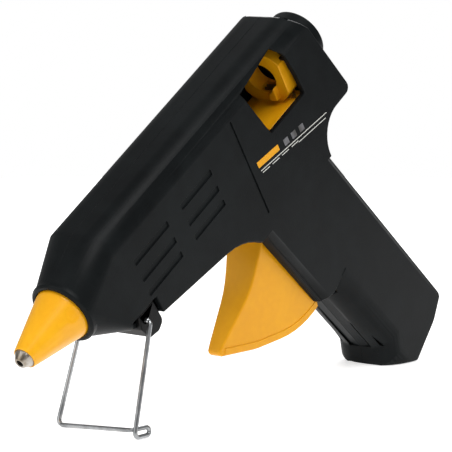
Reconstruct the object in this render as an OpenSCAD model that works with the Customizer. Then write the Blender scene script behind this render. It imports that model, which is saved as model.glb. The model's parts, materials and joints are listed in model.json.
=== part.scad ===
// Hot-melt glue gun for 11 mm sticks, standing nose down on its wire stand and on the foot of its handle.
// Millimetres. +Z is up, the nozzle points to -X, the gun's left side faces -Y.
// The gun itself is drawn in its own frame, placed by gun(): X runs back along the barrel from the
// nozzle's mouth, Z is square to the barrel and away from the handle, and Y is the same as outside.

/* [Stance] */
// Angle of the barrel below level, nose down
pitch = 33.5; // [28:0.5:38]
// Height of the nozzle's mouth over the table
tip_h = 31.3; // [24:0.1:38]

/* [Barrel] */
// Distance from the nozzle's mouth to the full barrel section
barrel_x = 46; // [42:1:52]
// Distance from the nozzle's mouth to the top of the rear face
rear_x = 179.2; // [170:0.1:190]
// Half width of the body
body_hw = 14.5; // [13:0.5:17]
// Radius of the two rounded shoulders
shoulder_r = 9.5; // [8:0.5:12]
// Height of the flat top over the barrel axis
dome_top = 19.9; // [19:0.1:22]
// Depth of the underside below the barrel axis, at the full section
under_z = 22.3; // [20:0.1:26]
// Slope of the underside, down towards the handle
under_slope = 9.1; // [6:0.1:12]
// Lean of the rear face
rear_lean = 16; // [12:0.1:22]
// How far the rear face's top is bevelled forward
rear_bevel = 4.2; // [2:0.1:6]
// Depth of the tang below the barrel axis
tang_z = 26; // [24.5:0.5:29]
// Wall of the two housings
wall = 2.2; // [1.8:0.1:2.6]

/* [Nose] */
// Distance from the mouth to the front face of the nose ring
nose_x = 25.6; // [24:0.1:28]
// Length of the nose ring
nose_len = 2.8; // [2:0.1:4]
// Radius of the nose ring
nose_r = 12.9; // [12:0.1:14]

/* [Handle] */
// Rake of the handle, away from square to the barrel
rake = 17.7; // [12:0.1:22]
// Distance from the mouth to the handle's front beside the trigger, measured square to the handle
grip_front = 99.1; // [96:0.1:104]
// Depth of the handle from front to back beside the trigger
grip_depth = 48.1; // [44:0.1:52]
// How much less deep the grip is below the trigger
grip_set = 9.5; // [6:0.1:12]
// Half width of the handle
grip_hw = 14.5; // [12:0.5:16]
// Radius of the handle's front corners
grip_corner = 10; // [8:0.5:12]
// Radius of the corners of the cheeks beside the trigger
cheek_r = 5; // [4:0.5:8]
// Distance along the handle to where the cheeks end
cheek_d = 121; // [118:0.5:123]
// Distance along the handle to the toe at its end
toe_d = 179.5; // [174:0.5:181]
// Length of the slope from the grip out to the toe
toe_rise = 6.5; // [5:0.5:9]
// How far the toe stands forward of the grip
toe_out = 5; // [4:0.1:7]
// Radius of the handle's rear corners
grip_rear_r = 3; // [2.5:0.5:9]
// Length from the barrel axis to the handle's end, along the handle
grip_len = 194; // [186:1:206]
// Radius of the web between the tang and the handle
web_r = 13; // [10:0.5:20]
// Radius between the underside and the handle
guard_r = 30; // [24:1:36]

/* [Window] */
// Distance from the mouth to the window's front lower corner
win_x = 141.4; // [138:0.1:144]
// Length of the window's lower edge
win_len = 25; // [22:0.5:28]
// Depth of the lower edge below the barrel axis
win_z = 9; // [7:0.1:11]

/* [Nozzle] */
// Radius of the nozzle's outlet
outlet_r = 1.3; // [0.8:0.1:1.6]
// Radius of the nozzle's front face
tip_r = 2; // [1.8:0.1:2.4]
// Distance from the mouth to the front of the nozzle cover
cover_x = 2.8; // [2.4:0.1:4]
// Radius of the cover at its front
cover_r0 = 4.5; // [3.8:0.1:5]
// Radius of the cover where it enters the nose ring
cover_r1 = 10.8; // [9.6:0.1:11]

/* [Glue stick path] */
// Radius of the bore that takes the stick
stick_r = 5.9; // [5.7:0.1:6.1]
// Outer radius of the inlet collar
collar_r = 11.9; // [10.5:0.1:12.2]
// Distance from the mouth to the rear face of the inlet collar
collar_x = 190; // [186:0.5:200]

/* [Trigger] */
// Half width of the trigger at its front edge
trig_edge = 2.9; // [2.4:0.1:4]
// Half width of the trigger at the handle
trig_wide = 10; // [8:0.5:10.5]
// Half width of the trigger's hub, inside the housings
trig_hw = 6; // [5.5:0.5:6.5]
// Place of the trigger's pivot, back from the mouth
pivot_x = 133; // [131:0.5:135]
// Depth of the trigger's pivot below the barrel axis
pivot_z = 30; // [29:0.5:31]
// Length of the drive arm over the pivot
arm_len = 15.5; // [14.5:0.5:16]
// Travel of the trigger
trig_travel = 20; // [14:1:22]

/* [Carriage] */
// Half width of the stick carriage
car_hw = 10.4; // [10:0.1:10.6]

/* [Stand] */
// Radius of the stand's wire
wire_r = 0.85; // [0.7:0.05:1.1]
// Lean of the legs, forward from upright
leg_lean = 16.9; // [8:0.1:20]
// Half distance between the leg tops
leg_top = 15.6; // [15:0.1:17]
// Half distance between the leg feet
leg_foot = 18.1; // [17:0.1:20]
// Length of the loop at the left foot
loop_len = 8.5; // [6:0.5:10]

/* [Fits] */
// Play round a turning pin
pin_fit = 0.05; // [0.03:0.01:0.08]
// Gap between parts that slide past each other
slide_gap = 0.4; // [0.3:0.05:0.5]
// Gap between parts that are only assembled
seat_gap = 0.1; // [0.05:0.05:0.2]

/* [Hidden] */
$fn = 64;
eps = 0.01;

grip_back = grip_front + grip_depth;
grip_low = grip_front + grip_set;
rail_y = car_hw + slide_gap;
// The gun frame: the mouth stands tip_h over the table, and the whole object is centred on X
lip = on_grip(grip_back, grip_len - 3.6);
tip_x = -(lip[0] * cos(pitch) - lip[1] * sin(pitch) - tip_r * sin(pitch)) / 2;
module gun() { translate([tip_x, 0, tip_h]) rotate([0, -pitch, 0]) children(); }
function gun_x(p) = tip_x + p[0] * cos(pitch) - p[1] * sin(pitch);
function gun_z(p) = tip_h + p[0] * sin(pitch) + p[1] * cos(pitch);

// A point of the handle: a is measured square to the handle, d along it, both from the mouth
function on_grip(a, d) = [a * cos(rake) + d * sin(rake), a * sin(rake) - d * cos(rake)];
// Height of the underside at a distance x
function under_at(x) = -under_z - (x - barrel_x) * tan(under_slope);
// Distance of the rear face at a height z
function rear_at(z) = rear_x + (dome_top - z) * tan(rear_lean);
crease_z = dome_top - shoulder_r;

// Rounds each corner [x, z, radius] of an outline with its own arc
function unit(v) = v / norm(v);
function corner(p, a, b) = let(
        u = unit([a[0] - p[0], a[1] - p[1]]),
        v = unit([b[0] - p[0], b[1] - p[1]]),
        half = acos(max(-1, min(1, u * v))) / 2,
        c = [p[0], p[1]] + unit(u + v) * p[2] / sin(half),
        s = [p[0], p[1]] + u * p[2] / tan(half) - c,
        e = [p[0], p[1]] + v * p[2] / tan(half) - c,
        a0 = atan2(s[1], s[0]),
        turn = (atan2(e[1], e[0]) - a0 + 540) % 360 - 180,
        n = max(2, ceil(abs(turn) / 9)))
    [for (i = [0:n]) c + p[2] * [cos(a0 + turn * i / n), sin(a0 + turn * i / n)]];
function rounded(pts) = [for (i = [0:len(pts) - 1])
    each (pts[i][2] > 0
        ? corner(pts[i], pts[(i + len(pts) - 1) % len(pts)], pts[(i + 1) % len(pts)])
        : [[pts[i][0], pts[i][1]]])];
function add_r(p, r) = [p[0], p[1], r];

// Extrudes an outline of the side view from y0 to y1
module side(y0, y1) { translate([0, y1, 0]) rotate([90, 0, 0]) linear_extrude(y1 - y0) children(); }
// Extrudes a cross-section along the barrel from x0 to x1
module along(x0, x1) { translate([x0, 0, 0]) rotate([90, 0, 90]) linear_extrude(x1 - x0) children(); }
// Turns a profile of [x, radius] points about the barrel axis
module turned(profile) {
    rotate([0, 90, 0])
        rotate_extrude()
            polygon([for (p = profile) [p[1], p[0]]]);
}
// A rod along Y
module rod(x, z, r, y0, y1) { translate([x, y0, z]) rotate([-90, 0, 0]) cylinder(r = r, h = y1 - y0); }
// A box from its lowest corner to its highest
module block(a, b) { translate(a) cube(b - a); }

// A round tube swept along a path of points
function mean_dir(path, i) = let(n = len(path))
    unit((i < n - 1 ? unit(path[i + 1] - path[i]) : [0, 0, 0])
        + (i > 0 ? unit(path[i] - path[i - 1]) : [0, 0, 0]));
function ring_at(c, t, r, sides) = let(
        side_dir = unit(cross(t, abs(t[1]) < 0.9 ? [0, 1, 0] : [1, 0, 0])),
        up_dir = cross(side_dir, t))
    [for (k = [0:sides - 1]) c + r * (cos(360 * k / sides) * side_dir + sin(360 * k / sides) * up_dir)];
module tube(path, r, sides = 10) {
    n = len(path);
    points = [for (i = [0:n - 1]) each ring_at(path[i], mean_dir(path, i), r, sides)];
    walls = [for (i = [0:n - 2]) for (k = [0:sides - 1])
        [i * sides + k, i * sides + (k + 1) % sides, (i + 1) * sides + (k + 1) % sides, (i + 1) * sides + k]];
    polyhedron(points, concat(walls, [[for (k = [0:sides - 1]) sides - 1 - k]],
        [[for (k = [0:sides - 1]) (n - 1) * sides + k]]), convexity = 6);
}
// A coil spring along X, from x0 to x1
function coil(x0, x1, r, turns, steps = 12) = [for (i = [0:turns * steps])
    [x0 + (x1 - x0) * i / (turns * steps), r * cos(360 * i / steps), r * sin(360 * i / steps)]];

// The outline of the housing in side view, drawn inwards by d, without its nose
guard_corner = let(a = grip_front,
        x = (a + (under_z - barrel_x * tan(under_slope)) * sin(rake))
            / (cos(rake) - tan(under_slope) * sin(rake)))
    [x, under_at(x)];
module body_outline(d) {
    web_x = (grip_back + tang_z * sin(rake)) / cos(rake);
    polygon(rounded([
        [barrel_x - eps, dome_top + 1 - d, 0],
        [rear_at(dome_top + 1) - rear_bevel - d, dome_top + 1 - d, 0],
        [rear_at(crease_z) - d / cos(rear_lean), crease_z, 0],
        [rear_at(-tang_z + d) - d / cos(rear_lean), -tang_z + d, 3],
        [web_x - d / cos(rake) + d * tan(rake), -tang_z + d, web_r + d],
        add_r(on_grip(grip_back - d, grip_len - 3.6 - d), 3),
        add_r(on_grip(grip_low + 26.5, grip_len - d), 12),
        add_r(on_grip(grip_low + 4, grip_len - d), 0),
        add_r(on_grip(grip_low + 4, grip_len + 8), 0),
        add_r(on_grip(grip_low - toe_out + d, grip_len + 8), 0),
        add_r(on_grip(grip_low - toe_out + d, toe_d), 3),
        add_r(on_grip(grip_low + d, toe_d - toe_rise), 4),
        add_r(on_grip(grip_low + d, cheek_d + 5), 3),
        add_r(on_grip(grip_front + d, cheek_d - d), 3),
        [guard_corner[0] + d, guard_corner[1] + d * 1.15, guard_r - d],
        [barrel_x - eps, -under_z + d, 0]]));
}
// The cross-section of the barrel, drawn inwards by d and cut off at the depth z
module barrel_section(d, z) {
    r = shoulder_r - d;
    c = body_hw - shoulder_r;
    for (y = [-c, c]) translate([y, crease_z]) circle(r);
    translate([-c, crease_z]) square([2 * c, r]);
    translate([d - body_hw, -z]) square([2 * (body_hw - d), z + crease_z]);
}
// The cross-section of the handle from x0 to its back, drawn inwards by d
module grip_section(x0, r0, d) {
    h = grip_hw - d;
    x1 = grip_back - d;
    f = r0 - d;
    b = grip_rear_r - d;
    translate([x0 + d, f - h]) square([x1 - x0 - d - b, 2 * (h - f)]);
    translate([x0 + d + f, -h]) square([x1 - x0 - d - f - b, 2 * h]);
    translate([x1 - b - 1, b - h]) square([b + 1, 2 * (h - b)]);
    for (y = [f - h, h - f]) translate([x0 + d + f, y]) circle(f);
    for (y = [b - h, h - b]) translate([x1 - b, y]) circle(b);
}
module grip_bar(d) {
    rotate([0, -rake, 0]) {
        translate([0, 0, -grip_len - 10]) linear_extrude(grip_len - 48) grip_section(grip_low, grip_corner, d);
        translate([0, 0, -cheek_d - 4]) linear_extrude(cheek_d - 54) grip_section(grip_front, cheek_r, d);
        translate([0, 0, -grip_len - 10]) linear_extrude(grip_len + 10 - toe_d)
            grip_section(grip_low - toe_out, grip_corner, d);
        hull() {
            translate([0, 0, -toe_d]) linear_extrude(eps) grip_section(grip_low - toe_out, grip_corner, d, $fn = 32);
            translate([0, 0, toe_rise - toe_d]) linear_extrude(eps) grip_section(grip_low, grip_corner, d, $fn = 32);
        }
    }
}
// The whole body of the gun, drawn inwards by d: walls are this solid less a smaller one
module body_solid(d) {
    intersection() {
        side(-body_hw - 1, body_hw + 1) body_outline(d);
        union() {
            along(barrel_x - eps, 210) barrel_section(d, tang_z + 14 - d);
            grip_bar(d);
        }
    }
}
// The nose, from the nose ring to the full section
module nose_solid(d) {
    hull() {
        along(nose_x + nose_len, nose_x + nose_len + eps) circle(nose_r - d, $fn = 48);
        along(barrel_x, barrel_x + eps) barrel_section(d, under_z - d);
    }
}
// The table is the plane under the gun's foot
module over_table(d) {
    intersection() {
        children();
        rotate([0, pitch, 0]) translate([-20, -50, -tip_h + d]) cube([300, 100, 300]);
    }
}

// Screw posts, where both housings meet: [x, z, how far out the screw's head sits]
low_head = body_hw - wall;
top_head = 9;
POSTS = [[82, 14.6, top_head], [122, 14.6, top_head], [64, -19, low_head], [96, -24, low_head],
    [182, -20.5, low_head], [each on_grip(grip_low + 28, 146), low_head],
    [each on_grip(grip_low + 27.5, 177), low_head]];
post_r = 3.9;
screw_r = 1.4;
screw_head_r = 2.5;

// The side window, with its front edge raked as the handle is
module window_outline() {
    polygon(rounded([
        [win_x, -win_z, 0.6],
        [win_x + win_len, -win_z, 0.8],
        [win_x + win_len - 0.6, -1, 4],
        [win_x + win_len - 2.6, 11, 5],
        [win_x + win_len - 6.4, 16.7, 0.6],
        [win_x - 7, 14.2, 0.6]]));
}
win_floor = 7.6;
module window_cut() {
    side(-body_hw - 1, -win_floor) window_outline();
}

// Six shallow slots on each side, in two groups of three
VENT_ROWS = [1.5, -6, -12.6];
VENT_GROUPS = [[53.5, 22], [84.5, 20.5]];
vent_h = 2.6;
vent_depth = 0.6;
module vents() {
    for (g = VENT_GROUPS, z = VENT_ROWS, s = [-1, 1])
        block([g[0], s * body_hw - vent_depth, z - vent_h / 2], [g[0] + g[1], s * body_hw + vent_depth, z + vent_h / 2]);
}
// A thin groove across each side, in front of the window
seam_x = 123.2;
module seam_groove() {
    for (s = [-1, 1])
        block([seam_x, s * body_hw - 0.5, -33], [seam_x + 0.9, s * body_hw + 0.5, crease_z - 0.6]);
}

// The stand's clip and pivot
stand_p = [47.6, -20.2];
clip_hw = 13.2;
module clip_outline(d) {
    polygon(rounded([
        [45.2 - d, -17 + d, 0.6],
        [54.8 + d, -17 + d, 0.6],
        [55.4 + d, -26.8 - d, 2.6],
        [51.6, -28.6 - d, 1.6],
        [46.4, -27.6 - d, 2],
        [44.2 - d, -22, 2]]));
}
module clip_pocket() {
    for (s = [-1, 1])
        block([41, s > 0 ? 11.6 : -body_hw - 1, -34], [56, s > 0 ? body_hw + 1 : -11.6, -16]);
}

// The inlet collar's spigot, and the hole for the cord in the handle's end
spigot_r = 9.2;
cord_a = grip_low + 19;
cord_r = 3.2;
gland_r = 5;

// Both housings before they are parted
module shell() {
    difference() {
        union() {
            over_table(0) difference() {
                body_solid(0);
                intersection() {
                    body_solid(wall);
                    over_table(wall) translate([0, -50, -200]) cube([300, 100, 300]);
                }
            }
            difference() {
                union() {
                    nose_solid(0);
                    turned([[nose_x, cover_r1 + 0.2], [nose_x, nose_r - 0.8], [nose_x + 0.8, nose_r],
                        [nose_x + nose_len + 1, nose_r], [nose_x + nose_len + 1, cover_r1 + 0.2]]);
                }
                difference() {
                    nose_solid(wall);
                    turned([[nose_x, 0], [nose_x, 30], [nose_x + 6, 30], [nose_x + 6, 0]]);
                }
                turned([[nose_x - 1, 0], [nose_x - 1, cover_r1 + 0.2], [nose_x + 7, cover_r1 + 0.2], [nose_x + 7, 0]]);
                turned([[nose_x + 1.6, 0], [nose_x + 1.6, cover_r1 + 0.9], [nose_x + 3.2, cover_r1 + 0.9],
                    [nose_x + 3.2, 0]]);
                translate([barrel_x - 0.5, 0, 0]) along(0, 3) barrel_section(wall, under_z - wall);
            }
            ribs();
        }
        window_cut();
        vents();
        seam_groove();
        clip_pocket();
        side(-clip_hw - 0.3, clip_hw + 0.3) clip_outline(seat_gap);
        trigger_slot();
        for (p = POSTS) rod(p[0], p[1], screw_r + seat_gap, -8.8, 5);
        turned([[20, 0], [20, 8], [33, 8], [33, 0]]);
        turned([[150, 0], [150, stick_r + 0.6], [collar_x, stick_r + 0.6], [collar_x, 0]]);
        turned([[rear_x - 5.5, 0], [rear_x - 5.5, spigot_r + seat_gap],
            [collar_x + 5, spigot_r + seat_gap], [collar_x + 5, 0]]);
        rotate([0, -rake, 0]) translate([cord_a, 0, -grip_len - 5]) cylinder(r = gland_r + seat_gap, h = 20);
    }
}
// Inner ribs: they hold the chamber's rings, guide the carriage and seat the springs
ring_x = [36, 68];
ring_w = 4;
ring_r = 11.1;
module ribs() {
    difference() {
        intersection() {
            union() {
                body_solid(1);
                nose_solid(1);
            }
            union() {
                for (p = POSTS) rod(p[0], p[1], post_r, -20, 20);
                for (x = ring_x)
                    block([x - 1.5 - seat_gap, -20, -40], [x + ring_w + seat_gap + 1.5, 20, 30]);
                block([rear_x - 4, -20, -40], [rear_x - 1, 20, 30]);
                for (s = [-1, 1], z = [-19, 8])
                    block([136, s > 0 ? rail_y : -20, z - 1], [rear_x - 1, s > 0 ? 20 : -rail_y, z + 1]);
                block([spring_rib_x, -20, -38], [spring_rib_x + 1.8, 20, -24]);
                for (s = [-1, 1])
                    rod(pivot_x, -pivot_z, 4.4, s > 0 ? trig_hw + slide_gap : -20,
                        s > 0 ? 20 : -trig_hw - slide_gap);
            }
        }
        for (x = ring_x) {
            turned([[x - 4, 0], [x - 4, 9.7], [x + ring_w + 4, 9.7], [x + ring_w + 4, 0]]);
            turned([[x - seat_gap, 0], [x - seat_gap, 30], [x + ring_w + seat_gap, 30], [x + ring_w + seat_gap, 0]]);
        }
        block([ring_x[1] - 4, -11.6, -18.8], [ring_x[1] + ring_w + 4, 11.6, -7]);
        turned([[rear_x - 6, 0], [rear_x - 6, stick_r + 0.6], [rear_x + 1, stick_r + 0.6], [rear_x + 1, 0]]);
        rod(pivot_x, -pivot_z, pin_r + 0.5, -body_hw + 1.9, body_hw - 1.9);
    }
}
spring_rib_x = 152;
// Room for the trigger, which swings on its pivot
module trigger_slot() {
    side(-trig_hw - slide_gap, trig_hw + slide_gap)
        polygon([[112, -31], [112, -60], [140, -60], [140, -31]]);
    side(-trig_wide - slide_gap, trig_wide + slide_gap)
        polygon([[100, -43.5], [100, -94.4], [130, -93.4], [143, -92.1], [154.5, -89], [154.5, -43.5]]);
}
// Countersinks for the screw heads, on the right side only
module screw_holes() {
    for (p = POSTS) {
        rod(p[0], p[1], screw_r + 0.2, 0.5, 20);
        rod(p[0], p[1], screw_head_r + 0.3, p[2] - 2, 20);
    }
}
// Each housing is one half of the shell; the right one is countersunk for the screws
module left_housing() {
    color([0.12, 0.125, 0.13]) gun() intersection() {
        shell();
        block([0, -40, -200], [300, 0, 100]);
    }
}
module right_housing() {
    color([0.12, 0.125, 0.13]) gun() difference() {
        intersection() {
            shell();
            block([0, 0, -200], [300, 40, 100]);
        }
        screw_holes();
    }
}
module housing_screws() {
    color("silver") gun() for (p = POSTS) {
        rod(p[0], p[1], screw_r, -8.5, p[2] - 1.9);
        difference() {
            rod(p[0], p[1], screw_head_r, p[2] - 1.9, p[2]);
            for (a = [0, 90])
                translate([p[0], p[2] + 0.5, p[1]]) rotate([0, a, 0])
                    cube([3.4, 2.6, 0.7], center = true);
        }
    }
}

// Nozzle group: a yellow cover over a steel nozzle with a sprung ball valve, screwed into the chamber
valve_x = 31;
cover_wall = 1;
module nozzle_cover() {
    color([0.9, 0.66, 0.12]) gun() difference() {
        turned([[cover_x, 0], [cover_x, cover_r0], [nose_x - 0.4, cover_r1], [nose_x + 1.7, cover_r1],
            [nose_x + 1.7, cover_r1 + 0.7], [nose_x + 3.1, cover_r1 + 0.7], [nose_x + 3.1, cover_r1],
            [nose_x + 6, cover_r1], [nose_x + 6, 0]]);
        turned([[cover_x - 1, 0], [cover_x - 1, cover_r0 - 0.5], [cover_x + 0.5, cover_r0 - 0.5],
            [nose_x - 0.4, cover_r1 - cover_wall], [nose_x + 7, cover_r1 - cover_wall], [nose_x + 7, 0]]);
    }
}
module nozzle() {
    color("lightgray") gun() difference() {
        union() {
            turned([[0, 0], [0, tip_r], [cover_x, cover_r0 - 0.6], [18.6, 5.6], [18.6, 0]]);
            translate([18.5, 0, 0]) rotate([0, 90, 0]) cylinder(r = 6.4, h = 4, $fn = 6);
            turned([[22.4, 0], [22.4, 4.8], [valve_x, 4.8], [valve_x, 0]]);
        }
        turned([[-1, 0], [-1, outlet_r], [14, outlet_r], [16, 3], [valve_x + 1, 3], [valve_x + 1, 0]]);
    }
}
ball_r = 2.5;
seat_r = 1.8;
ball_x = valve_x - sqrt(pow(ball_r, 2) - pow(seat_r, 2)) - 0.02;
module valve_ball() { color("silver") gun() translate([ball_x, 0, 0]) sphere(ball_r); }
module valve_spring() { color("silver") gun() tube(coil(16.6, ball_x - ball_r - 1.7, 2.3, 6), 0.25, 8); }
chamber_end = 78;
spigot_x = 71;
module melt_chamber() {
    color([0.75, 0.76, 0.78]) gun() difference() {
        union() {
            turned([[25.2, 0], [25.2, 7.8], [spigot_x, 8.3], [spigot_x, 7], [chamber_end, 7], [chamber_end, 0]]);
            block([42, -6.5, -10.5], [65.6, 6.5, -4]);
        }
        turned([[24, 0], [24, 4.85], [valve_x, 4.85], [valve_x, seat_r], [valve_x + 2, seat_r],
            [44, stick_r], [chamber_end + 1, stick_r], [chamber_end + 1, 0]]);
    }
}
module mount_ring(x) {
    color([0.55, 0.2, 0.15]) gun() difference() {
        turned([[x, 0], [x, ring_r], [x + ring_w, ring_r], [x + ring_w, 0]]);
        turned([[x - 1, 0], [x - 1, 8.4], [x + ring_w + 1, 8.4], [x + ring_w + 1, 0]]);
    }
}
module front_mount_ring() { mount_ring(ring_x[0]); }
module rear_mount_ring() { mount_ring(ring_x[1]); }

// Heater: a ceramic element between two electrodes and two insulating sheets, pressed up by a clip
HEAT = [[-10.9, 0.4], [-11.5, 0.6], [-13.7, 2.2], [-14.3, 0.6], [-14.7, 0.4]];
module heater_layer(i, x0, x1, hw) {
    block([x0, -hw, HEAT[i][0]], [x1, hw, HEAT[i][0] + HEAT[i][1]]);
}
module insulator_sheets() { color([0.85, 0.6, 0.2]) gun() for (i = [0, 4]) heater_layer(i, 42, 65.6, 6.4); }
module electrode_plates() {
    color([0.8, 0.65, 0.35]) gun() {
        for (i = [1, 3]) heater_layer(i, 43.6, 63, 5.4);
        block([63 - eps, 2.2, HEAT[1][0]], [70, 5, HEAT[1][0] + HEAT[1][1]]);
        block([63 - eps, -5, HEAT[3][0]], [70, -2.2, HEAT[3][0] + HEAT[3][1]]);
    }
}
module ptc_heater() { color([0.35, 0.36, 0.38]) gun() heater_layer(2, 44, 62, 5); }
module heater_clip() {
    color("silver") gun() difference() {
        block([48, -9.5, -15.5], [58, 9.5, 9.3]);
        block([47, -8.7, -14.7], [59, 8.7, 8.5]);
    }
}
module stick_sleeve() {
    color([0.8, 0.35, 0.25]) gun() turned([[spigot_x + 2, 7.05], [spigot_x + 2, 8.9], [112, 8.9], [112, stick_r + 0.1],
        [chamber_end + 0.2, stick_r + 0.1], [chamber_end + 0.2, 7.05]]);
}
module sleeve_clip() {
    color("silver") gun() turned([[spigot_x + 3.4, 8.95], [spigot_x + 3.4, 9.4], [spigot_x + 5.4, 9.4], [spigot_x + 5.4, 8.95]]);
}
module inlet_collar() {
    color([0.12, 0.125, 0.13]) gun() difference() {
        union() {
            difference() {
                turned([[rear_x - 4, 0], [rear_x - 4, collar_r], [collar_x - 0.6, collar_r], [collar_x, collar_r - 0.6],
                    [collar_x, 0]]);
                rear_half_space();
            }
            turned([[rear_x - 5.3, 0], [rear_x - 5.3, spigot_r], [collar_x - 1, spigot_r], [collar_x - 1, 0]]);
        }
        turned([[150, 0], [150, stick_r], [collar_x - 1.5, stick_r], [collar_x + 1, stick_r + 1.6], [collar_x + 1, 0]]);
    }
}
// Everything in front of the rear face, a little proud of it
module rear_half_space() {
    side(-30, 30) polygon([[150, 60], [rear_at(60) + 0.05, 60], [rear_at(-60) + 0.05, -60], [150, -60]]);
}

// Feed: the carriage slides between the housings' rails, and its jaw bites the stick from below
ring_front = 162.5;
ring_back = 170;
shelf_z = -10.7;
shelf_t = 2.7;
jaw_p = [166.2, -10.4];
pin_r = 1.5;
jaw_pin_r = 1.2;
function arm_at(turn) = [pivot_x + arm_len * sin(trig_travel / 2 - turn), -pivot_z + arm_len * cos(trig_travel / 2 - turn)];
module feed_carriage() {
    d = arm_at(0);
    color([0.9, 0.66, 0.12]) gun() difference() {
        union() {
            along(ring_front, ring_back) intersection() {
                circle(12.2);
                translate([-car_hw, shelf_z - shelf_t]) square([2 * car_hw, 30]);
            }
            translate([0, 0, shelf_z - shelf_t]) linear_extrude(shelf_t)
                polygon([[145.2, -car_hw], [146.3, -7.9], [157.4, 6.8], [157.4, car_hw], [ring_back, car_hw],
                    [ring_back, -car_hw]]);
            for (s = [-1, 1])
                side(s > 0 ? car_hw - 2 : -car_hw, s > 0 ? car_hw : 2 - car_hw)
                    polygon(rounded([[d[0] - 4.2, d[1] - 3.8, 2], [d[0] - 4.2, shelf_z - 0.6, 2], [166, shelf_z - 0.6, 0],
                        [166, shelf_z - shelf_t - 1.6, 1], [d[0] + 12, shelf_z - shelf_t - 1.6, 1], [d[0] + 6, d[1] - 3.8, 2]]));
            block([ring_front - 2.4, -5.6, -9], [ring_front + 1, -2.2, -3]);
        }
        turned([[155, 0], [155, stick_r + 0.5], [175, stick_r + 0.5], [175, 0]]);
        block([163.6, -3.4, -20], [168.8, 3.4, -4]);
        rod(jaw_p[0], jaw_p[1], jaw_pin_r + seat_gap, -12, 12);
        side(-12, 12) translate([d[0] - pin_r - 0.12, d[1] - pin_r - 0.3]) square([2 * pin_r + 0.24, 2 * pin_r + 0.8]);
    }
}
module grip_jaw() {
    color([0.35, 0.36, 0.38]) gun() difference() {
        side(-3, 3) polygon([[164.2, -12.6], [168.2, -12.6], [168.4, -8.2], [167.2, -stick_r - 0.5], [166.4, -7.4],
            [165.6, -stick_r - 0.5], [164.8, -7.4], [164.2, -8.2]]);
        rod(jaw_p[0], jaw_p[1], jaw_pin_r + pin_fit, -12, 12);
    }
}
module jaw_pin() { color("silver") gun() rod(jaw_p[0], jaw_p[1], jaw_pin_r, -9, 9); }

// Trigger: a wedge that swings on a pin between the housings, with two drive arms over its hub
module trigger_outline() {
    polygon(rounded([
        [122, -44.5, 0],
        [120.6, -44.5, 0],
        [106.4, -58, 34],
        [85, -66.8, 0],
        [81.4, -68.6, 1.4],
        [82.4, -70.8, 1],
        [97.6, -80.4, 40],
        [119.4, -90.1, 35],
        [133.2, -88.2, 1.8],
        [133.8, -84, 1],
        [136, -70, 3],
        [136, -44.5, 0]]));
}
module trigger() {
    color([0.88, 0.64, 0.15]) gun() difference() {
        union() {
            intersection() {
                side(-trig_wide, trig_wide) trigger_outline();
                translate([0, 0, -100]) linear_extrude(70)
                    polygon([[78, -trig_edge + 0.4], [78, trig_edge - 0.4], [131, trig_wide], [140, trig_wide],
                        [140, -trig_wide], [131, -trig_wide]]);
            }
            side(-trig_hw, trig_hw)
                polygon(rounded([[pivot_x - 6, -pivot_z + 4, 4], [118, -45.5, 3], [136, -45.5, 0],
                    [pivot_x + 4.4, -pivot_z + 4, 4]]));
            for (s = [-1, 1])
                side(s > 0 ? 3.4 : -trig_hw, s > 0 ? trig_hw : -3.4)
                    polygon([[pivot_x - 4, -pivot_z], arm_at(0) + [-2.9, 0.5], arm_at(0) + [-1, 2.9], arm_at(0) + [1.8, 2.4],
                        arm_at(0) + [2.9, 0], [pivot_x + 4, -pivot_z]]);
        }
        rod(pivot_x, -pivot_z, pin_r + 0.5 + pin_fit, -20, 20);
        rod(pivot_x, -pivot_z, 8.4, -3, 3);
        rod(arm_at(0)[0], arm_at(0)[1], pin_r + 0.01, -20, 20);
    }
}
module trigger_pin() { color("silver") gun() rod(pivot_x, -pivot_z, pin_r + 0.5 - pin_fit, -12.1, 12.1); }
module drive_pin() { color("silver") gun() rod(arm_at(0)[0], arm_at(0)[1], pin_r, -car_hw + 0.2, car_hw - 0.2); }
// A torsion spring round the trigger's pin: its long leg bears on the rib behind
module return_spring() {
    n = 66;
    path = concat([[pivot_x - 4.4, -2.5, -pivot_z - 3.2]],
        [for (i = [0:n]) [pivot_x + 3.2 * sin(180 + 30 * i), -2.5 + 5 * i / n, -pivot_z + 3.2 * cos(180 + 30 * i)]],
        [[spring_rib_x - 0.5, 2.5, -pivot_z + 3.2]]);
    color("silver") gun() tube(path, 0.35, 8);
}

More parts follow.
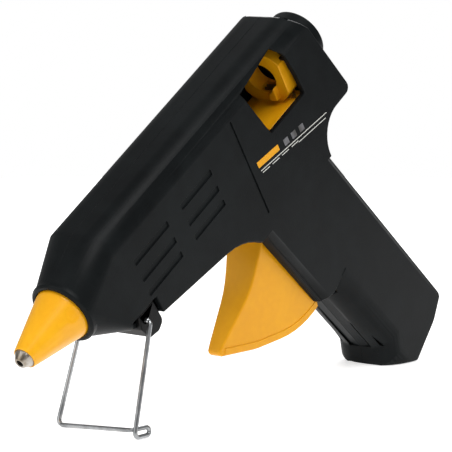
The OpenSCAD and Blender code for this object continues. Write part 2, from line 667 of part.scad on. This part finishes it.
// Stand: a bent wire whose ends turn in the clip under the nose
module stand_clip() {
    color([0.06, 0.06, 0.065]) gun() difference() {
        side(-clip_hw, clip_hw) clip_outline(0);
        rod(stand_p[0], stand_p[1], wire_r + pin_fit, -20, 20);
    }
}
stand_h = gun_z(stand_p);
foot_x = gun_x(stand_p) - (stand_h - wire_r) * tan(leg_lean);
function bend(a, b, c, r, n = 5) = let(
        u = unit(a - b), v = unit(c - b), half = acos(max(-1, min(1, u * v))) / 2,
        m = b + unit(u + v) * r / sin(half), p = b + u * r / tan(half) - m, q = b + v * r / tan(half) - m,
        full = 180 - 2 * half, w = unit(q - p * cos(full) ))
    [for (i = [0:n]) m + p * cos(full * i / n) + unit(q - p * cos(full)) * r * sin(full * i / n)];
module wire_stand() {
    px = gun_x(stand_p);
    left_end = [px, -clip_hw + 3, stand_h];
    left_top = [px, -leg_top, stand_h];
    foot = [foot_x, -leg_foot, wire_r];
    loop_low = [foot_x + loop_len, -leg_foot + 0.2, wire_r];
    loop_high = [foot_x + loop_len, -leg_foot + 0.6, wire_r + 2.7];
    back = [foot_x + 0.8, -leg_foot + 2.2, wire_r + 2.5];
    far_foot = [foot_x, leg_foot, wire_r];
    right_top = [px, leg_top, stand_h];
    right_end = [px, clip_hw - 3, stand_h];
    color([0.62, 0.62, 0.63]) tube(concat([left_end],
        bend(left_end, left_top, foot, 1.6),
        bend(left_top, foot, loop_low, 1.8),
        bend(foot, loop_low, loop_high, 1.3),
        bend(loop_low, loop_high, back, 1.3),
        bend(loop_high, back, far_foot, 2.2),
        bend(back, far_foot, right_top, 2.2),
        bend(far_foot, right_top, right_end, 1.6),
        [right_end]), wire_r, 10);
}

// Mains side: leads from the heater to a terminal block in the handle, and the gland for the cord
block_a = grip_low + 14;
block_d = 160;
module on_handle(a, y, d) { rotate([0, -rake, 0]) translate([a, y, -d]) children(); }
module terminal_block() {
    color([0.85, 0.85, 0.82]) gun() on_handle(block_a, 0, block_d) difference() {
        translate([-8, -7.5, -5]) cube([8, 15, 12]);
        for (y = [-3.7, 3.7]) {
            translate([-4, y, -6]) cylinder(r = 1.4, h = 14);
            translate([-9, y, 1]) rotate([0, 90, 0]) cylinder(r = 1.6, h = 5);
        }
    }
}
module terminal_screws() {
    color("goldenrod") gun() on_handle(block_a, 0, block_d)
        for (y = [-3.7, 3.7]) translate([-8.4, y, 1]) rotate([0, 90, 0]) cylinder(r = 1.5, h = 3.2);
}
// Each point of a lead: [x, y, z] from the heater's tab down to the block's clamp
block_top = on_grip(block_a - 4, block_d - 7);
block_in = on_grip(block_a - 4, block_d - 4);
module lead(z0) {
    tube([[70.2, 3.6, z0], [74, 6.4, -13.6], [80, 9, -15.6], [104, 9.3, -17.4], [124, 9.3, -20.6], [136, 9.3, -22.4],
        [143, 9.3, -30], [148, 9.3, -44], [152, 9.3, -62], [156, 8.6, -82], [block_top[0] - 1.6, 4.8, block_top[1] + 6],
        [block_top[0], 3.7, block_top[1]], [block_in[0], 3.7, block_in[1]]], 0.8, 8);
}
module heater_leads() {
    color([0.75, 0.2, 0.15]) gun() {
        lead(-11.9);
        mirror([0, 1, 0]) lead(-13.3);
    }
}
module cord_gland() {
    color([0.08, 0.08, 0.085]) gun() on_handle(cord_a, 0, grip_len) difference() {
        translate([0, 0, -0.5]) cylinder(r = gland_r, h = 8);
        translate([0, 0, -2]) cylinder(r = cord_r, h = 12);
    }
}

left_housing();
right_housing();
housing_screws();
nozzle_cover();
nozzle();
valve_ball();
valve_spring();
melt_chamber();
front_mount_ring();
rear_mount_ring();
insulator_sheets();
electrode_plates();
ptc_heater();
heater_clip();
stick_sleeve();
sleeve_clip();
inlet_collar();
feed_carriage();
grip_jaw();
jaw_pin();
trigger();
trigger_pin();
drive_pin();
return_spring();
stand_clip();
wire_stand();
terminal_block();
terminal_screws();
heater_leads();
cord_gland();
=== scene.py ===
"""A hot-melt glue gun standing nose down on its wire stand and on the heel of its handle."""
import json
import math

import bmesh
import bpy
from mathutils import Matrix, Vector
from mathutils.bvhtree import BVHTree


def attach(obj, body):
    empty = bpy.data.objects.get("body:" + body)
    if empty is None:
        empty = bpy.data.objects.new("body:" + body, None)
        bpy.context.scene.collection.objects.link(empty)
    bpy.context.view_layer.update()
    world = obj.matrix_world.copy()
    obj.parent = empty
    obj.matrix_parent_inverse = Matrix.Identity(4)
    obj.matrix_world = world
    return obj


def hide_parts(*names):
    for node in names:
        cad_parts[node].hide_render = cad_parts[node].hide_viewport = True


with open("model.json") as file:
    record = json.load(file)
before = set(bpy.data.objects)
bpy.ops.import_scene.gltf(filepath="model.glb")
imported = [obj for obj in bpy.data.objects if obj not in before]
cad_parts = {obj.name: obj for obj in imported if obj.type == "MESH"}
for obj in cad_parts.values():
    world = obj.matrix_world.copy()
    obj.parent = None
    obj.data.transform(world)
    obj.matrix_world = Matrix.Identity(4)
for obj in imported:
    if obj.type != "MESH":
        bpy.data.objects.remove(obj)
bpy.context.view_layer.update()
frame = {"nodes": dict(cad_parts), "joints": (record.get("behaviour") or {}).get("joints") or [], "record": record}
nodes = frame["nodes"]

# ---------------------------------------------------------------- the gun's own frame
# The barrel points down at the table. x runs back from the nozzle's mouth, z is square to
# the barrel and y points the same way as outside, all in millimetres.
INLET_AT = 0.182      # from the nozzle's mouth to the glue stick's inlet, in metres

slide = next(Vector(j["axis"]) for j in frame["joints"] if j["name"] == "carriage_feed")
PITCH = math.atan2(-slide.z, -slide.x)
COS, SIN = math.cos(PITCH), math.sin(PITCH)
inlet = next(m for m in frame["record"]["mounts"] if m["name"] == "stick_inlet")
MOUTH = Vector(inlet["pos_m"]) + slide * INLET_AT


def gun(x, y, z):
    """A point of the gun's frame, in metres outside."""
    return Vector((MOUTH.x + (x * COS - z * SIN) / 1000, y / 1000, MOUTH.z + (x * SIN + z * COS) / 1000))


def along_gun(place):
    """The gun frame's x and z of a point outside."""
    dx, dz = (place.x - MOUTH.x) * 1000, (place.z - MOUTH.z) * 1000
    return dx * COS + dz * SIN, dz * COS - dx * SIN


def clamp(value):
    """The value, kept between 0 and 1."""
    return max(0.0, min(1.0, value))


# ---------------------------------------------------------------- shader maths
class Sock:
    """A shader socket that ordinary arithmetic works on."""

    def __init__(self, tree, link=None):
        self.tree = tree
        self.link = link

    def make(self, kind, settings=None, inputs=None, out=0):
        """Adds a node: its settings first, then the values or links of its inputs."""
        node = self.tree.nodes.new(kind)
        for key, value in (settings or {}).items():
            setattr(node, key, value)
        for key, value in (inputs or {}).items():
            if isinstance(value, Sock):
                self.tree.links.new(value.link, node.inputs[key])
            else:
                node.inputs[key].default_value = value
        return Sock(self.tree, node.outputs[out])

    def math(self, operation, *values):
        return self.make("ShaderNodeMath", {"operation": operation}, dict(enumerate(values)))

    def __add__(self, other):
        return self.math("ADD", self, other)

    def __radd__(self, other):
        return self.math("ADD", other, self)

    def __sub__(self, other):
        return self.math("SUBTRACT", self, other)

    def __rsub__(self, other):
        return self.math("SUBTRACT", other, self)

    def __mul__(self, other):
        return self.math("MULTIPLY", self, other)

    def __rmul__(self, other):
        return self.math("MULTIPLY", other, self)

    def step(self, low, high):
        """0 below low and 1 above high, smooth between."""
        return self.make("ShaderNodeMapRange", {"interpolation_type": "SMOOTHSTEP"},
                         {"Value": self, "From Min": low, "From Max": high, "To Min": 0.0, "To Max": 1.0})

    def mix(self, low, high):
        """Blends two colours by this value."""
        return self.make("ShaderNodeMix", {"data_type": "RGBA", "blend_type": "MIX"},
                         {0: self, 6: low, 7: high}, out=2)

    def noise(self, scale, detail=3.0, rough=0.5, stretch=(1, 1, 1)):
        """Cloudy noise over this place, with about scale clouds to a metre."""
        where = self.make("ShaderNodeMapping", {}, {"Vector": self, "Scale": stretch})
        return self.make("ShaderNodeTexNoise", {},
                         {"Vector": where, "Scale": scale, "Detail": detail, "Roughness": rough})

    def cells(self, scale):
        """Round cells over this place, scale of them to a metre."""
        return self.make("ShaderNodeTexVoronoi", {}, {"Vector": self, "Scale": scale})


def rgb(*levels):
    """A colour given as it looks on a screen, 0 to 255."""
    return tuple(c / 255 / 12.92 if c <= 10 else ((c / 255 + 0.055) / 1.055) ** 2.4 for c in levels) + (1.0,)


class Finish:
    """A material with its shader and the place of each point of the surface."""

    def __init__(self, name, **fixed):
        self.material = bpy.data.materials.new(name)
        self.material.use_nodes = True
        self.tree = self.material.node_tree
        self.shader = next(n for n in self.tree.nodes if n.type == "BSDF_PRINCIPLED")
        for key, value in fixed.items():
            self.shader.inputs[key.replace("_", " ")].default_value = value
        self.place = Sock(self.tree).make("ShaderNodeTexCoord", out="Object")

    def set(self, **sockets):
        """Links the shader's inputs."""
        for key, value in sockets.items():
            self.tree.links.new(value.link, self.shader.inputs[key.replace("_", " ")])

    def bump(self, height, distance):
        """Raises the surface by up to a distance, in metres."""
        self.set(Normal=self.place.make("ShaderNodeBump", {}, {"Height": height, "Distance": distance}))


# ---------------------------------------------------------------- finishes
# How deep each texture is, in metres
SPARK_GRAIN, FLOW_DEPTH, TURNING_DEPTH = 0.00003, 0.00005, 0.00002


def spark_plastic(name, shade, lift, rough, gloss=0.5, coat=0.0):
    """A moulding with a spark-eroded grain and handling marks that catch the light."""
    f = Finish(name, Specular_IOR_Level=gloss, Coat_Weight=coat, Coat_Roughness=0.3)
    cloud = f.place.noise(38, 4)
    smear = f.place.noise(130, 3, 0.6, (1, 0.35, 1))
    fine = f.place.cells(2600)
    tone = (cloud * 0.6 + smear * 0.4).step(0.35, 0.72)
    f.set(Base_Color=tone.mix(shade, lift), Roughness=rough + (cloud - 0.5) * 0.16 + (fine - 0.5) * 0.06)
    f.bump(fine * 0.7 + f.place.noise(1500, 2) * 0.6 + smear * 0.15, SPARK_GRAIN)
    return f


def yellow_moulding(name, shade, deep, rough, coat):
    """Warm yellow plastic with faint flow marks and a little soiling."""
    f = Finish(name, Coat_Weight=coat, Coat_Roughness=0.18, Specular_IOR_Level=0.25, Subsurface_Weight=0.06,
               Subsurface_Radius=(0.004, 0.002, 0.0004))
    flow = f.place.noise(45, 4, 0.55, (1, 1, 0.5))
    spots = f.place.noise(420, 2)
    tone = (flow * 0.75 + spots * 0.25).step(0.3, 0.75)
    f.set(Base_Color=tone.mix(deep, shade), Roughness=rough + (flow - 0.5) * 0.14 + (spots - 0.5) * 0.08)
    f.bump(flow * 0.8 + f.place.noise(1300, 2) * 0.25, FLOW_DEPTH)
    return f


def bare_metal(name, shade, dull, rough, stretch=(1, 1, 1)):
    """Bare metal with drawing or turning marks and a thin bloom."""
    f = Finish(name, Metallic=1.0)
    marks = f.place.noise(900, 3, 0.6, stretch)
    bloom = f.place.noise(160, 4)
    f.set(Base_Color=bloom.step(0.35, 0.7).mix(shade, dull),
          Roughness=rough + (marks - 0.5) * 0.22 + (bloom - 0.5) * 0.1)
    f.bump(marks, TURNING_DEPTH)
    return f


FINISHES = {
    "body_plastic": spark_plastic("charcoal_moulding", rgb(15, 17, 18), rgb(22, 25, 26), 0.38, gloss=0.07),
    "clip_plastic": spark_plastic("clip_moulding", rgb(10, 10, 11), rgb(16, 17, 18), 0.45, gloss=0.15),
    "yellow_plastic": yellow_moulding("trigger_yellow", rgb(234, 166, 12), rgb(224, 154, 8), 0.42, 0.04),
    "yellow_rubber": yellow_moulding("cover_yellow", rgb(244, 178, 18), rgb(234, 164, 12), 0.32, 0.2),
    "nozzle_steel": bare_metal("turned_steel", rgb(196, 192, 186), rgb(128, 116, 100), 0.3, (1, 6, 1)),
    "wire_steel": bare_metal("drawn_wire", rgb(178, 180, 182), rgb(132, 134, 136), 0.32, (3, 3, 0.4)),
    "screw_steel": bare_metal("plated_steel", rgb(190, 192, 194), rgb(150, 150, 150), 0.3),
    "spring_steel": bare_metal("spring_wire", rgb(150, 152, 156), rgb(110, 110, 112), 0.34),
    "jaw_steel": bare_metal("pressed_steel", rgb(140, 140, 144), rgb(96, 94, 92), 0.42),
    "chamber_aluminium": bare_metal("cast_aluminium", rgb(200, 202, 206), rgb(168, 170, 172), 0.45),
    "electrode_brass": bare_metal("stamped_brass", rgb(212, 178, 96), rgb(170, 132, 60), 0.35),
    "ring_resin": spark_plastic("heatproof_resin", rgb(104, 52, 40), rgb(122, 66, 52), 0.5),
    "insulator_film": spark_plastic("amber_film", rgb(190, 122, 40), rgb(206, 140, 60), 0.25, coat=0.4),
    "ceramic": spark_plastic("sintered_ceramic", rgb(70, 70, 74), rgb(92, 92, 96), 0.6),
    "sleeve_silicone": spark_plastic("red_silicone", rgb(166, 60, 42), rgb(184, 78, 58), 0.5),
    "block_plastic": spark_plastic("pale_moulding", rgb(214, 214, 206), rgb(226, 226, 220), 0.4),
    "lead_jacket": spark_plastic("woven_jacket", rgb(150, 42, 34), rgb(176, 66, 54), 0.6),
}

for row in frame["record"]["subparts"]:
    part = nodes[row["node"]]
    if not part.material_slots:
        part.data.materials.append(None)
    for slot in part.material_slots:
        slot.material = FINISHES[row["material_slot"]].material


# ---------------------------------------------------------------- building
def add_piece(name, mesh, body, slot, smooth=True, replaced=()):
    """Puts a mesh in the scene as a piece of the gun, in the finish of its slot."""
    obj = bpy.data.objects.new(name, mesh)
    bpy.context.scene.collection.objects.link(obj)
    mesh.materials.clear()
    mesh.materials.append(FINISHES[slot].material)
    for face in mesh.polygons:
        face.use_smooth = smooth
    if replaced:
        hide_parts(*replaced)
    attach(obj, body)
    return obj


def saved(bm, name):
    """The mesh of what was built so far."""
    mesh = bpy.data.meshes.new(name)
    bm.to_mesh(mesh)
    bm.free()
    return mesh


def skinned(name, forms, capped=True):
    """A mesh of forms, each skinned over its rings of points of the gun's frame."""
    bm = bmesh.new()
    for rings in forms:
        rows = [[bm.verts.new(gun(*p)) for p in ring] for ring in rings]
        count = len(rings[0])
        for low, high in zip(rows, rows[1:]):
            for i in range(count):
                j = (i + 1) % count
                bm.faces.new((low[i], low[j], high[j], high[i]))
        if capped:
            bm.faces.new(list(reversed(rows[0])))
            bm.faces.new(rows[-1])
    bmesh.ops.recalc_face_normals(bm, faces=bm.faces)
    return saved(bm, name)


SEAM_SHARE = 0.25          # the parting line's edges are broken by only this share of the width
SEAM_WITHIN = 0.00001      # a point this near to the middle lies on the parting line, in metres
REACH_SHARE = 0.15         # an edge is broken by no more than this share of the faces beside it
LEAST_BREAK = 0.05         # edges with less room than this stay sharp, in millimetres
BREAK_STEPS = 3            # flats across a broken edge
SAME_POINT = 0.00004       # points closer than this are merged, in metres
FLAT_ENOUGH = 0.6          # faces that turn less than this, in degrees, become one
STRAY_SHARE = 0.4          # a point further off the skin than this share of the width went astray


def reach(face, edge):
    """How far a face goes from one of its edges."""
    start = edge.verts[0].co
    line = (edge.verts[1].co - start).normalized()
    return max(((v.co - start) - line * (v.co - start).dot(line)).length for v in face.verts)


def softened(node, name, body, slot, width, angle=28, crisp=None):
    """The CAD part's own shape with its edges broken, as a moulding has them.

    width is in millimetres, and edges that turn less than angle, in degrees, stay as they are.
    crisp says which edges stay sharp, from the gun frame's x and z of an edge's middle.
    """
    mesh = nodes[node].data.copy()
    mesh.name = name
    bm = bmesh.new()
    bm.from_mesh(mesh)
    bmesh.ops.remove_doubles(bm, verts=bm.verts, dist=SAME_POINT)
    bmesh.ops.dissolve_degenerate(bm, dist=SAME_POINT, edges=bm.edges)
    bmesh.ops.dissolve_limit(bm, angle_limit=math.radians(FLAT_ENOUGH), verts=bm.verts, edges=bm.edges)
    skin = BVHTree.FromBMesh(bm)
    weight = bm.edges.layers.float.new("bevel_weight_edge")
    for edge in bm.edges:
        if len(edge.link_faces) != 2 or edge.calc_face_angle() < math.radians(angle):
            continue
        room = min(reach(face, edge) for face in edge.link_faces) * REACH_SHARE * 1000
        middle = along_gun((edge.verts[0].co + edge.verts[1].co) / 2)
        if room < LEAST_BREAK or (crisp and crisp(*middle)):
            continue
        on_seam = all(abs(v.co.y) < SEAM_WITHIN for v in edge.verts)
        edge[weight] = min(width, room) / width * (SEAM_SHARE if on_seam else 1)
    bm.to_mesh(mesh)
    bm.free()
    piece = add_piece(name, mesh, body, slot, replaced=(node,))
    bevel = piece.modifiers.new("edges", "BEVEL")
    bevel.width = width / 1000
    bevel.segments = BREAK_STEPS
    bevel.limit_method = "WEIGHT"
    bevel.use_clamp_overlap = False
    bevel.loop_slide = False
    settle(piece, skin, width / 1000 * STRAY_SHARE)
    normals = piece.modifiers.new("normals", "WEIGHTED_NORMAL")
    normals.mode = "FACE_AREA"
    normals.weight = 100


def settle(piece, skin, depth):
    """Applies a piece's modifiers, and lays back on the old skin any point that went astray."""
    built = piece.evaluated_get(bpy.context.evaluated_depsgraph_get())
    mesh = bpy.data.meshes.new_from_object(built)
    piece.modifiers.clear()
    for vert in mesh.vertices:
        place, _, _, distance = skin.find_nearest(vert.co)
        if distance > depth:
            vert.co = place
    mesh.name = piece.name
    piece.data = mesh
    for face in mesh.polygons:
        face.use_smooth = True


# Places in the gun's frame
WINDOW_FRONT, WINDOW_BACK = 128, 172
SHOULDER_LOW = 7.5        # the rounded shoulder starts here
HANDLE_TOP = -40          # the handle's sides run into the barrel's here
AT_JOIN = 0.1             # an edge this near to that line lies on it


def crisp_edge(x, z):
    """The window's edges on the rounded shoulder, and the line where handle and barrel join."""
    return (WINDOW_FRONT < x < WINDOW_BACK and z > SHOULDER_LOW) or abs(z - HANDLE_TOP) < AT_JOIN


softened("left_housing", "left_shell", "gun", "body_plastic", 0.9, crisp=crisp_edge)
softened("right_housing", "right_shell", "gun", "body_plastic", 0.9, crisp=crisp_edge)
softened("trigger", "trigger_blade", "trigger", "yellow_plastic", 0.8)
softened("stand_clip", "stand_block", "gun", "clip_plastic", 0.5)
softened("inlet_collar", "rear_collar", "gun", "body_plastic", 0.5)
softened("feed_carriage", "stick_carriage", "carriage", "yellow_plastic", 0.35)
softened("nozzle", "steel_tip", "gun", "nozzle_steel", 0.2)
softened("wire_stand", "bent_wire", "stand", "wire_steel", 0.1, angle=80)

# ---------------------------------------------------------------- nozzle cover
# A cone with a raised crease along its left side, a shallow arched hollow where it nears the
# nose, and a flange. Each pair is a distance from the mouth and a radius.
COVER = [(2.8, 4.5), (25.2, 10.8), (27.3, 10.8), (27.3, 11.5), (28.7, 11.5), (28.7, 10.8), (31.6, 10.8)]
COVER_BORE = [(31.6, 9.8), (25.2, 9.8), (3.3, 4.0), (2.8, 4.0)]
COVER_STATIONS = [2.8 + 0.5 * i for i in range(45)] + [25.2, 26.2, 27.29, 27.31, 28.0, 28.69, 28.71, 31.6]
COVER_INSET = 0.16        # how far the outside lies within the radii above
CREASE_FRONT, CREASE_BACK, CREASE_TALL = 3.5, 18.5, 0.42
CREASE_RISE, CREASE_FALL = 4, 5       # how long it fades in and out
HOLLOW_AT, HOLLOW_HALF, HOLLOW_DEEP = 22.6, 2.6, 0.3
HOLLOW_STEEP = 3          # how steeply its sides go down
# Angles round the barrel, from the gun's left side up
CREASE_TURN, CREASE_SPREAD = math.radians(-12), math.radians(24)
HOLLOW_TURN, HOLLOW_SPREAD = math.radians(22), math.radians(15)
SIDES = 96
TURNS = [2 * math.pi * k / SIDES - math.pi for k in range(SIDES)]


def cover_radius(x, turn):
    """Radius of the cover's outside at a distance x and an angle."""
    for (x0, r0), (x1, r1) in zip(COVER, COVER[1:]):
        if x0 <= x <= x1 and x1 > x0:
            base = r0 + (r1 - r0) * (x - x0) / (x1 - x0)
            break
    fade = clamp((x - CREASE_FRONT) / CREASE_RISE) * clamp((CREASE_BACK - x) / CREASE_FALL)
    crease = fade * clamp(1 - abs(turn - CREASE_TURN) / CREASE_SPREAD)
    hollow = 1 - ((x - HOLLOW_AT) / HOLLOW_HALF) ** 2 - ((turn - HOLLOW_TURN) / HOLLOW_SPREAD) ** 2
    return base - COVER_INSET + CREASE_TALL * crease - HOLLOW_DEEP * clamp(hollow * HOLLOW_STEEP)


def around(x, radii):
    """A ring round the barrel at a distance x, with a radius for each of the turns."""
    return [(x, -r * math.cos(turn), r * math.sin(turn)) for turn, r in zip(TURNS, radii)]


outside = [around(x, [cover_radius(x, turn) for turn in TURNS]) for x in COVER_STATIONS]
bore = [around(x, [r] * SIDES) for x, r in COVER_BORE]
cover = add_piece("glossy_cover", skinned("glossy_cover", [outside + bore + [outside[0]]], capped=False),
                  "gun", "yellow_rubber", replaced=("nozzle_cover",))
weld = cover.modifiers.new("weld", "WELD")
weld.merge_threshold = 0.00001
cover_edge = cover.modifiers.new("edges", "BEVEL")
cover_edge.width = 0.00025
cover_edge.segments = 3
cover_edge.angle_limit = math.radians(40)
cover_normals = cover.modifiers.new("normals", "WEIGHTED_NORMAL")
cover_normals.weight = 60

# ---------------------------------------------------------------- marks on the left side
BODY_HALF = 14.5          # half width of the housings
INK_PROUD, INK_SUNK = 0.06, 0.2          # how far a mark stands out of the side, and reaches into it
MARK_SLOPE = math.tan(math.radians(-8.7))    # the rows of marks lean this much from the barrel
MARK_X, MARK_Z = 128, -15.4              # where the rows start


def bar(start, length, drop, height):
    """A plain bar below the window: how far along, how long, how far down and how tall."""
    x0 = MARK_X + start
    z0 = MARK_Z + start * MARK_SLOPE - drop
    x1, z1 = x0 + length, z0 + length * MARK_SLOPE
    return [(x0, z0), (x1, z1), (x1, z1 + height), (x0, z0 + height)]


def inked(name, bars, slot):
    """Thin plates cut to the bars, just proud of the left housing."""
    depths = (-BODY_HALF - INK_PROUD, -BODY_HALF + INK_SUNK)
    plates = [[[(x, y, z) for x, z in outline] for y in depths] for outline in bars]
    add_piece(name, skinned(name, plates), "gun", slot, smooth=False)


dashes = [bar(1 + 6.5 * i, 4.6, 2.6, 0.3) for i in range(4)]
inked("side_rules", [bar(0.5, 45, 1.5, 0.3), bar(25, 19, 3.2, 0.3)] + dashes, "block_plastic")
inked("side_squares", [bar(17.5 + 5.2 * i, 3, 0.2, 2.8) for i in range(3)], "jaw_steel")
inked("side_tab", [bar(0, 14, -0.2, 2.6)], "yellow_plastic")

# ---------------------------------------------------------------- trigger's rim
# A bead along the trigger's bottom edge, standing proud of both sides of the wedge.
BLADE_FRONT, BLADE_BACK = (78, 2.5), (131, 10)    # distance from the mouth, and the wedge's half width
RIM_TALL, RIM_PROUD = 3.1, 0.3
RIM_LIFT, RIM_CORNER = 0.12, 0.5                  # how far above the edge it starts, and its lower corners


def blade_half(x):
    """Half width of the trigger's wedge at a distance x from the mouth."""
    (x0, w0), (x1, w1) = BLADE_FRONT, BLADE_BACK
    return min(w1, w0 + (w1 - w0) * (x - x0) / (x1 - x0))


def eased(points, steps=5):
    """An open path whose inner corners [x, z, radius] are rounded with arcs."""
    path = [Vector(points[0][:2])]
    for before, here, after in zip(points, points[1:], points[2:]):
        corner = Vector(here[:2])
        back = (Vector(before[:2]) - corner).normalized()
        on = (Vector(after[:2]) - corner).normalized()
        half = back.angle(on) / 2
        centre = corner + (back + on).normalized() * here[2] / math.sin(half)
        start = corner + back * here[2] / math.tan(half) - centre
        end = corner + on * here[2] / math.tan(half) - centre
        turn = start.angle_signed(end)
        for i in range(steps + 1):
            a = -turn * i / steps
            path.append(centre + Vector((start.x * math.cos(a) - start.y * math.sin(a),
                                         start.x * math.sin(a) + start.y * math.cos(a))))
    path.append(Vector(points[-1][:2]))
    return path


# The corners of the blade's bottom edge, each with its rounding
rim_low = eased([(83.2, -71.3, 0), (97.6, -80.4, 40), (119.4, -90.1, 35), (132.6, -88.3, 0)])


def rim_ring(index):
    """A section of the rim: up its left side and down its right."""
    place = rim_low[index]
    along = (rim_low[min(index + 1, len(rim_low) - 1)] - rim_low[max(index - 1, 0)]).normalized()
    up = Vector((-along.y, along.x))
    half = blade_half(place.x) + RIM_PROUD
    top = blade_half(place.x + up.x * RIM_TALL) + RIM_PROUD
    low, high = place + up * RIM_LIFT, place + up * RIM_TALL
    corner = low + up * RIM_CORNER
    left = [(low, -half + RIM_CORNER), (corner, -half), (high, -top)]
    right = [(point, -y) for point, y in reversed(left)]
    return [(point.x, y, point.y) for point, y in left + right]


rim = add_piece("trigger_rim", skinned("trigger_rim", [[rim_ring(i) for i in range(len(rim_low))]]),
                "trigger", "yellow_plastic", smooth=False)
rim_edge = rim.modifiers.new("edges", "BEVEL")
rim_edge.width = 0.00012
rim_edge.segments = 2

# ---------------------------------------------------------------- camera
AIM = Vector((MOUTH.x + 0.1137, 0, MOUTH.z + 0.0353))      # the middle of the view
SENSOR, LENS = 36, 186.531                                 # in millimetres


def outward(azimuth, elevation):
    """The direction from the gun towards an azimuth and elevation in degrees; 0, 0 is its left side."""
    a, e = math.radians(azimuth), math.radians(elevation)
    return Vector((math.sin(a) * math.cos(e), -math.cos(a) * math.cos(e), math.sin(e)))


def looking(name, data, direction, distance):
    """Puts a camera or a lamp in the scene, looking at the gun from a direction."""
    obj = bpy.data.objects.new(name, data)
    obj.location = AIM + direction * distance
    obj.rotation_euler = (-direction).to_track_quat("-Z", "Y").to_euler()
    bpy.context.scene.collection.objects.link(obj)
    return obj


camera = looking("camera", bpy.data.cameras.new("camera"), outward(-51.8, 7.7), 0.882)
camera.data.sensor_width = SENSOR
camera.data.lens = LENS
camera.data.clip_end = 50
bpy.context.scene.camera = camera

# ---------------------------------------------------------------- floor and light
FLOOR_RADIUS, FLOOR_DROP = 0.75, 0.0002                    # in metres
bm = bmesh.new()
bmesh.ops.create_circle(bm, cap_ends=True, segments=96, radius=FLOOR_RADIUS)
floor = bpy.data.objects.new("floor", saved(bm, "floor"))
floor.location.z = -FLOOR_DROP
bpy.context.scene.collection.objects.link(floor)
pale = Finish("pale_floor", Roughness=0.9, Specular_IOR_Level=0.1, Emission_Color=(1, 1, 1, 1),
              Emission_Strength=0.6)
pale.set(Base_Color=pale.place.noise(3).mix((0.84, 0.84, 0.84, 1), (0.88, 0.88, 0.88, 1)))
floor.data.materials.append(pale.material)

# The backdrop is white to look at, and lights the gun softly.
BACKDROP, SKY_LIGHT = 1.0, 0.3
world = bpy.data.worlds.new("studio")
bpy.context.scene.world = world
world.use_nodes = True
background = next(n for n in world.node_tree.nodes if n.type == "BACKGROUND")
background.inputs["Color"].default_value = (1, 1, 1, 1)
seen = Sock(world.node_tree).make("ShaderNodeLightPath", out="Is Camera Ray")
world.node_tree.links.new((seen * (BACKDROP - SKY_LIGHT) + SKY_LIGHT).link, background.inputs["Strength"])


def lamp(name, azimuth, elevation, distance, size, power):
    """A soft square lamp: its direction in degrees, its distance and size in metres, its power in watts."""
    data = bpy.data.lights.new(name, "AREA")
    data.size = size
    data.energy = power
    looking(name, data, outward(azimuth, elevation), distance)


lamp("key", -25, 60, 1.2, 0.6, 9)
lamp("left_fill", -110, 25, 1.3, 0.9, 5)
lamp("rear_rim", 120, 35, 1.3, 0.6, 8)

bpy.context.scene.view_settings.view_transform = "Standard"
